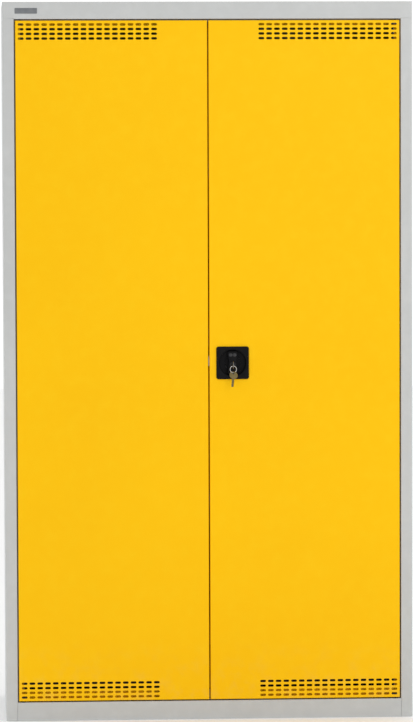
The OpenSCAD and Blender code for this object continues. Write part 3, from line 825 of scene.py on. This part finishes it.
def bumpers():
    """Soft domed buffers on the door stops."""
    stop, face = STOP_Y + SHEET, DOOR_BACK_Y + 0.4 * MM
    depth = stop - face
    dome = ((1, 0), (1, 0.45), (0.93, 0.72), (0.75, 0.9), (0.45, 0.985), (0.1, 1))
    shells = []
    for x in BUFFER_PLACES:
        for r, z in ((4 * MM, RAIL_Z - 8 * MM), (6 * MM, FOOT_Z + 14 * MM)):
            profile = [(r * across, depth * out) for across, out in dome]
            shells.append(turned(profile, (x, stop, z), (0, -1, 0), 28))
    piece("buffers", shells, "rubber", "cabinet", ["door_bumpers"])


# ---- door fittings

HAT_BRIM, HAT_FOOT, HAT_CROWN = 42 * MM, 23.4 * MM, 21.4 * MM
BLOCK_H, BLOCK_EDGE, BLOCK_HALF = 9 * MM, 0.6 * MM, 8 * MM
PIN_STAND = 8 * MM          # how far the pins reach into the rails


def hat(right):
    """Hat-shaped stiffener on the inside of a door."""
    low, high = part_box("right_door_stiffener")
    x = (low.x + high.x) / 2
    base, top = low.y + SHEET, high.y
    half = [(HAT_BRIM, base), (HAT_FOOT, base), (HAT_CROWN, top)]
    path = [(x + u, v) for u, v in half] + [(x - u, v) for u, v in reversed(half)]
    shell = folded(path, (low.z, high.z), lambda u, v, w: (u, v, w), BACK_BEND)
    door_piece(right, "door_hat", [shell], "door_yellow", "door_stiffener", SHEET_EDGE)


def pivots(right):
    """Pivot blocks with rounded edges and chamfered pins."""
    x0, x1 = PIVOT_X - 12 * MM, DOOR_X1 - 5 * MM
    y0, y1 = FRONT_Y + SHEET, FRONT_Y + HINGE_DEPTH - SHEET
    cx, cy = (x0 + x1) / 2, (y0 + y1) / 2
    loop = soft_rect(cx, cy, (x1 - x0) / 2, (y1 - y0) / 2, 2 * MM)
    upper, lower = DOOR_Z1 - SHEET, DOOR_Z0 + SHEET
    shells = []
    for block_z, pin_z, pin_end, up in ((upper - BLOCK_H, upper - MM, RAIL_Z + PIN_STAND, 1),
                                        (lower, lower + MM, FOOT_Z - PIN_STAND, -1)):
        rings = []
        for inset, h in ((BLOCK_EDGE, 0), (0, BLOCK_EDGE), (0, BLOCK_H - BLOCK_EDGE), (BLOCK_EDGE, BLOCK_H)):
            k = 1 - inset / BLOCK_HALF
            rings.append([(cx + (u - cx) * k, cy + (v - cy) * k, block_z + h) for u, v in loop])
        shells.append(loft(rings))
        length = abs(pin_end - pin_z)
        profile = [(PIN_R, 0), (PIN_R, length - 1.2 * MM), (PIN_R - 0.4 * MM, length - 0.4 * MM),
                   (PIN_R - 0.8 * MM, length)]
        shells.append(turned(profile, (PIVOT_X, PIVOT_Y, pin_z), (0, 0, up), 32))
    door_piece(right, "pivots", shells, "black_metal", "door_pivots")


# ---- lock and keys

PLATE_HALF, PLATE_CORNER = 44 * MM, 6 * MM
HUB_ROOM_R, CAM_ROOM_R = 20.5 * MM, 18.8 * MM
BORE_R = 8.05 * MM
GRIP_HALF_W, GRIP_HALF_H, GRIP_FACE = 13.5, 30.5, 6.0       # in mm
GRIP_SLOPE, SLOPE_Z = 0.30, LOCK_Z + 10 * MM
PAD_X, PAD_Z, PAD_W, PAD_H = 5.3 * MM, LOCK_Z + 21.5 * MM, 10.4 * MM, 9.5 * MM
# Outline of the grip about the lock centre, (x, z) in mm.
GRIP = [(-13.5, -27), (-10, -30.5), (10, -30.5), (13.5, -27), (12, -9), (10.5, 6), (13.5, 26), (11, 30.5),
        (-11, 30.5), (-13.5, 26), (-10.5, 6), (-12, -9)]


def ring_at(loop, y):
    """The points of an (x, z) loop at the depth y."""
    return [(x, y, z) for x, z in loop]


def around(loop, discs):
    """Edge of a group of discs (x, z, r) about the lock centre, in the directions of loop's points."""
    out = []
    for x, z in loop:
        a = math.atan2(z - LOCK_Z, x - LOCK_X)
        far = 0
        for dx, dz, r in discs:
            along = dx * math.cos(a) + dz * math.sin(a)
            far = max(far, along + math.sqrt(along * along - dx * dx - dz * dz + r * r))
        out.append((LOCK_X + far * math.cos(a), LOCK_Z + far * math.sin(a)))
    return out


def lock_plate():
    """Square plate with a round finger dish and a rounded rim. The pocket behind it has room for the
    hub of the grip and for the cam with the handle upright and turned."""

    def square(half, r):
        points = []
        loop = soft_rect(LOCK_X, LOCK_Z, half, half, r, 7)
        for a, b in zip(loop, loop[1:] + loop[:1]):
            steps = 16 if math.dist(a, b) > 10 * MM else 1
            points += [(a[0] + (b[0] - a[0]) * k / steps, a[1] + (b[1] - a[1]) * k / steps)
                       for k in range(steps)]
        return points

    base = square(PLATE_HALF, PLATE_CORNER)
    pocket = [(0, 0, HUB_ROOM_R), (0, -KEY_DROP, CAM_ROOM_R), (KEY_DROP, 0, CAM_ROOM_R)]
    rings = [ring_at(around(base, pocket), FRONT_Y + depth * MM) for depth in (10.0, 8.05)]
    dish = ((20.3, 8.05), (20.3, 7.7), (20.6, 7.4), (33.0, 7.4), (34.6, 6.8), (35.2, 5.3),
            (35.9, -2.8), (36.3, -3.5), (37.0, -3.9))
    for r, depth in dish:
        rings.append(ring_at(around(base, [(0, 0, r * MM)]), FRONT_Y + depth * MM))
    rim = ((42.0, 4.6, -4.0), (43.2, 5.4, -3.7), (43.8, 5.9, -2.9), (44.0, 6.0, -1.8),
           (44.0, 6.0, 0.0), (39.0, 4.0, 0.0), (39.0, 4.0, 10.0))
    for half, r, depth in rim:
        rings.append(ring_at(square(half * MM, r * MM), FRONT_Y + depth * MM))
    piece("lock_plate", [loft(rings, loop=True)], "black_plastic", "right_door", ["lock_dish"])


def rounded(points, r, steps=5):
    """A closed outline with its corners rounded, each in the same number of steps."""
    out = []
    n = len(points)
    for i in range(n):
        p, a, b = Vector(points[i]), Vector(points[i - 1]), Vector(points[(i + 1) % n])
        da, db = (a - p).normalized(), (b - p).normalized()
        half = da.angle(db) / 2
        cut = min(r / math.tan(half), (a - p).length * 0.45, (b - p).length * 0.45)
        start, end = p + da * cut, p + db * cut
        for k in range(steps + 1):
            t = k / steps
            q = start * (1 - t) ** 2 + p * 2 * t * (1 - t) + end * t ** 2
            out.append((q.x, q.y))
    return out


def grip_body():
    """The waisted body with its bore for the barrel and its thumb end sloped back."""
    outline = rounded(in_mm(GRIP), 5 * MM)
    body = Body()
    rows = []
    edge = ((0.8, 6.0), (0.0, 5.2), (0.0, -3.2), (0.25, -4.4), (0.9, -5.3), (1.9, -5.8), (3.0, -GRIP_FACE))
    for inset, depth in edge:
        kx, kz = 1 - inset / GRIP_HALF_W, 1 - inset / GRIP_HALF_H
        rows.append(body.row([(LOCK_X + x * kx, FRONT_Y + depth * MM, LOCK_Z + z * kz) for x, z in outline]))
    body.strip(rows, closed=True)
    bore = circle(LOCK_X, KEY_Z, BORE_R, 40)
    front = body.row(ring_at(bore, FRONT_Y - GRIP_FACE * MM))
    back = body.row(ring_at(bore, FRONT_Y + 6 * MM))
    body.strip([front, back], closed=True)
    body.fill(rows[-1], front)
    body.fill(rows[0], back)
    verts, faces = body.shell()
    shaped = []
    for x, y, z in verts:
        if z > SLOPE_Z and y < FRONT_Y:
            share = min((FRONT_Y - y) / (GRIP_FACE * MM), 1)
            y += share * (z - SLOPE_Z) * GRIP_SLOPE
        shaped.append((x, y, z))
    return shaped, faces


def grip():
    """Turning grip with its hub, and two thumb pads on the slope, coloured lighter than the grip as a
    painted highlight.
    """
    hub = in_mm([(8.2, 6.0), (19.7, 6.0), (20.1, 6.4), (20.1, 10.0), (19.7, 10.4), (8.2, 10.4)])
    shells = [grip_body(), turned(hub, (LOCK_X, FRONT_Y, LOCK_Z), (0, 1, 0), 64)]
    face_y = FRONT_Y - GRIP_FACE * MM
    pads = []
    for s in (-1, 1):
        rings = []
        for k, rise in ((1.0, -0.4), (0.96, 0.1), (0.8, 0.42), (0.5, 0.6), (0.12, 0.66)):
            loop = obround(LOCK_X + s * PAD_X, PAD_Z, PAD_W * k, PAD_H * k, 10)
            rings.append([(u, face_y + max(v - SLOPE_Z, 0) * GRIP_SLOPE - rise * MM, v) for u, v in loop])
        pads.append(loft(rings))
    piece("turning_grip", shells, "black_plastic", "handle", ["lock_grip"])
    # the pads take a lighter colour than the grip: painted highlight of the light on the slope
    piece("thumb_pads", pads, "black_plastic", "handle", look="rubbed_plastic")


# Keys, in mm.
KEY_THICK, BLADE_HALF = 1.6, 3.5
CUT_DEPTHS = (0.0, 1.1, 0.5, 1.5, 0.8, 1.2)
GROOVE_B, GROOVE_W, GROOVE_SIDE, GROOVE_DEPTH = 0.9, 1.6, 0.25, 0.35

KEY_EDGE = 0.16 * MM
KEY_YAW, KEY_LEAN = math.radians(-35), math.radians(8)
RING_YAW = math.radians(15)


def bow(r, run, neck):
    """Outline of the head of a key in mm, open at a neck of that half width, with its two halves
    moved apart by run each."""
    start, count = math.asin(neck / r), 40
    out = []
    for k in range(count + 1):
        a = start + (2 * math.pi - 2 * start) * k / count
        out.append((r * math.cos(a), r * math.sin(a) + (run if math.sin(a) > 0 else -run)))
    return out


def key_blade(start, end, shoulder=None):
    """Outline of a blade in mm, from its cut side round the tip to its plain side, with shoulder as
    the half width of the key before start."""
    half = BLADE_HALF
    out = [(start, -shoulder), (start, -half)] if shoulder else []
    step = (end - 3.0 - start) / len(CUT_DEPTHS)
    for k, cut in enumerate(CUT_DEPTHS):
        a = start + step * (k + 0.15)
        out += [(a, -half), (a + 0.3 * step, -half + cut), (a + 0.6 * step, -half + cut)]
    out += [(end - 2.4, -half), (end - 0.3, -0.8), (end, 0.4), (end - 1.2, half - 0.4), (end - 2.0, half)]
    return out + ([(start, half), (start, shoulder)] if shoulder else [])


def key_shell(outline, hole, groove, place):
    """A flat key with outline and hole in mm, and with a groove milled into both faces between the
    two places in groove."""
    sheet = Sheet()
    half = KEY_THICK / 2

    def row(loop, depth=0):
        return [sheet.point(place(a, b, half - depth), place(a, b, -half + depth)) for a, b in loop]

    cut = row(hole)
    middle, length = (groove[0] + groove[1]) / 2, groove[1] - groove[0]
    rows = []
    for inset, depth in ((0, 0), (GROOVE_SIDE, GROOVE_DEPTH)):
        loop = obround(middle, GROOVE_B, length - 2 * inset, GROOVE_W - 2 * inset, 4)
        rows.append(row(loop, depth))
    sheet.strip(rows, closed=True)
    sheet.fill(rows[1])
    sheet.fill(row(outline), cut, rows[0])
    return sheet.shell()


def main_key():
    """Key in the barrel, its bow upright and edge on."""
    low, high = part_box("main_key")
    bow_r = (high.z - low.z) / 2
    x, y0, z = (low.x + high.x) / 2, low.y + bow_r, (low.z + high.z) / 2
    outline = bow(10.5, 0, 5.0) + key_blade(17.5, 30.5, 5.0)
    shell = key_shell(outline, circle(-4, 0, 3.2, 28), (10.0, 27.0),
                      lambda a, b, c: (x + c * MM, y0 + a * MM, z + b * MM))
    piece("key_in_lock", [shell], "nickel", "key", ["main_key"], KEY_EDGE, "worn_nickel")


def joint_place(name):
    """Where a joint of the frame stands."""
    return Vector(next(j for j in frame["joints"] if j["name"] == name)["pos_m"])


def hanging_key():
    """Second key on the lowest point of the ring, turned a little to one side."""
    pin = joint_place("spare_key_swing")
    turn = Matrix.Rotation(KEY_YAW, 3, "Z") @ Matrix.Rotation(KEY_LEAN, 3, "Y")

    hole_a, hole_b, sag = -5.2, -1.8, 1.3

    def place(a, b, c):
        return tuple(pin + turn @ Vector(((b - hole_b) * MM, c * MM, (hole_a - sag - a) * MM)))

    outline = bow(9.5, 3.0, 0.5) + key_blade(13.0, 32.5)
    shell = key_shell(outline, circle(hole_a, hole_b, 2.8, 28), (8.0, 29.0), place)
    piece("key_on_ring", [shell], "brass", "second_key", ["spare_key"], KEY_EDGE)


def split_ring():
    """Two turns of flat wire that cross over once."""
    hinge = joint_place("key_ring_swing")
    low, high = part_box("key_ring")
    centre = Vector((hinge.x, (low.y + high.y) / 2, (low.z + high.z) / 2))
    normal = Vector((math.sin(RING_YAW), -math.cos(RING_YAW), 0))
    side = Vector((normal.y, -normal.x, 0))
    up = Vector((0, 0, 1))
    ring_r, wide, thin, gap = 9 * MM, 0.76 * MM, 0.37 * MM, 0.41 * MM
    turns, start, steps = 2.0, 0.9, 120
    rings = []
    for k in range(steps + 1):
        t = k / steps
        a = 2 * math.pi * turns * t + start
        shift = gap * max(-1.0, min(1.0, (t - 0.5) * 16))
        out = side * math.cos(a) + up * math.sin(a)
        middle = centre + out * ring_r + normal * shift
        squeeze = 1.0 if 0 < k < steps else 0.7
        rings.append([tuple(middle + (out * wide * math.cos(b) + normal * thin * math.sin(b)) * squeeze)
                      for b in (2 * math.pi * j / 12 for j in range(12))])
    piece("double_ring", [loft(rings)], "nickel", "split_ring", ["key_ring"])


def screws():
    """Button heads with hexagon sockets on the lock case."""
    low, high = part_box("lock_screws")
    head_r, count = 3.2, 36
    dome = ((head_r, 0), (3.15, 0.5), (2.9, 1.2), (2.4, 1.75), (1.9, 2.0))
    socket = ((1.35, 2.0), (1.25, 0.8))
    shells = []
    for x in (low.x + head_r * MM, high.x - head_r * MM):
        for z in (low.z + head_r * MM, high.z - head_r * MM):
            rings = [ring_at(circle(x, z, r * MM, count), low.y + h * MM) for r, h in dome]
            for r, h in socket:
                hexagon = []
                for k in range(count):
                    a = 2 * math.pi * k / count
                    far = r * MM * math.cos(math.pi / 6) / math.cos((a % (math.pi / 3)) - math.pi / 6)
                    hexagon.append((x + far * math.cos(a), z + far * math.sin(a)))
                rings.append(ring_at(hexagon, low.y + h * MM))
            shells.append(loft(rings))
    piece("case_screws", shells, "zinc_plated", "right_door", ["lock_screws"])


# ---- CAD nodes that stay

KEPT_EDGE = 0.25 * MM
KEPT = {
    "body_grey": ("top_panel", "floor_panel", "plinth_frame"),
    "door_yellow": ("gap_cover",),
    "galvanised": ("shelf_clips",),
    "zinc_plated": ("striker_plates", "edge_striker", "lock_case", "upper_rod", "lower_rod", "side_bolt",
                    "lock_pinion"),
    "pale_nylon": ("rod_guides", "bolt_guide"),
    "black_metal": ("lock_barrel", "lock_plug"),
}


def dress_kept_nodes():
    """Material and softened edges on the CAD nodes whose shape is already right."""
    for slot, names in KEPT.items():
        for name in names:
            obj = NODES[name]
            for place in obj.material_slots:
                place.link = "OBJECT"
                place.material = LOOKS[slot]
            soften(obj, KEPT_EDGE)


side_panels()
front_rails()
back_wall()
uprights()
for tray_node in ("tray_lower", "tray_middle", "tray_upper"):
    tray(tray_node, "galvanised")
# The sump tray gets the near-black finish as painted shade: it stands for the dark inside the foot of the
# cabinet, seen through the lower slots.
tray("sump_tray", "black_metal")
nameplate()
bushes()
bumpers()
for right_side in (True, False):
    door_skin(right_side)
    hat(right_side)
    pivots(right_side)
lock_plate()
grip()
main_key()
hanging_key()
split_ring()
screws()
dress_kept_nodes()

# ---- stage, light and camera

LENS, SENSOR_W = 344.31, 36.0
CAMERA_AT = (-0.615, FRONT_Y - 10.603, 1.569)
CAMERA_TURN = [math.radians(a) for a in (3.285, 3.226, 0.203)]      # yaw, pitch, roll
KEY_LIGHT_AT, KEY_LIGHT_AIM = (1.5, -3.6, 2.5), (0, -0.25, 0.9)
KEY_LIGHT_SIZE, KEY_LIGHT_POWER = 2.0, 27
FLOOR_HALF = 14.0
FRONT_WHITE, REAR_WHITE = 0.70, 1.06


def add_camera():
    """Long lens at the place that the photo's perspective gives, starting along +Y and then turned."""
    data = bpy.data.cameras.new("camera")
    data.sensor_fit = "HORIZONTAL"
    data.sensor_width = SENSOR_W
    data.lens = LENS
    data.clip_end = 60.0
    camera = new_object("camera", data)
    yaw, pitch, roll = CAMERA_TURN
    turn = Matrix.Rotation(-roll, 3, "Y") @ Matrix.Rotation(pitch, 3, "X") @ Matrix.Rotation(yaw, 3, "Z")
    right, forward, up = turn
    axes = Matrix((right, up, -forward)).transposed()
    camera.matrix_world = Matrix.LocRotScale(Vector(CAMERA_AT), axes, None)
    bpy.context.scene.camera = camera


def add_key_light():
    """One large soft light, in front and to the upper right."""
    data = bpy.data.lights.new("key", "AREA")
    data.shape = "DISK"
    data.size = KEY_LIGHT_SIZE
    data.energy = KEY_LIGHT_POWER
    light = new_object("key", data)
    light.location = KEY_LIGHT_AT
    way = Vector(KEY_LIGHT_AIM) - Vector(KEY_LIGHT_AT)
    light.rotation_euler = way.to_track_quat("-Z", "Y").to_euler()


def add_world():
    """White all round, dimmer in front of the doors."""
    world = bpy.data.worlds.new("studio")
    bpy.context.scene.world = world
    world.use_nodes = True
    tree = world.node_tree
    background = tree.nodes["Background"]
    place = add_node(tree, "TexCoord", {}).outputs["Generated"]
    depth = add_node(tree, "SeparateXYZ", {"Vector": place}).outputs["Y"]
    spread = {"Value": depth, "From Min": -0.7, "From Max": 0.0, "To Min": FRONT_WHITE, "To Max": REAR_WHITE}
    tree.links.new(add_node(tree, "MapRange", spread).outputs["Result"], background.inputs["Strength"])
    background.inputs["Color"].default_value = (1, 1, 1, 1)


def add_floor():
    """Plain white floor."""
    mesh = bpy.data.meshes.new("floor")
    s = FLOOR_HALF
    mesh.from_pydata([(-s, -s, 0), (s, -s, 0), (s, s, 0), (-s, s, 0)], [], [[0, 1, 2, 3]])
    look = Look("floor_white", (0.99, 0.99, 0.99), 0.7, 0.0, 0.2)
    look.tint(look.spread(look.noise(1.2, 2.0), 0, 1), (0.95, 0.95, 0.95), 0.5)
    mesh.materials.append(look.material)
    floor = new_object("floor", mesh)


add_camera()
add_world()
add_floor()
add_key_light()
bpy.context.scene.view_settings.view_transform = "Standard"
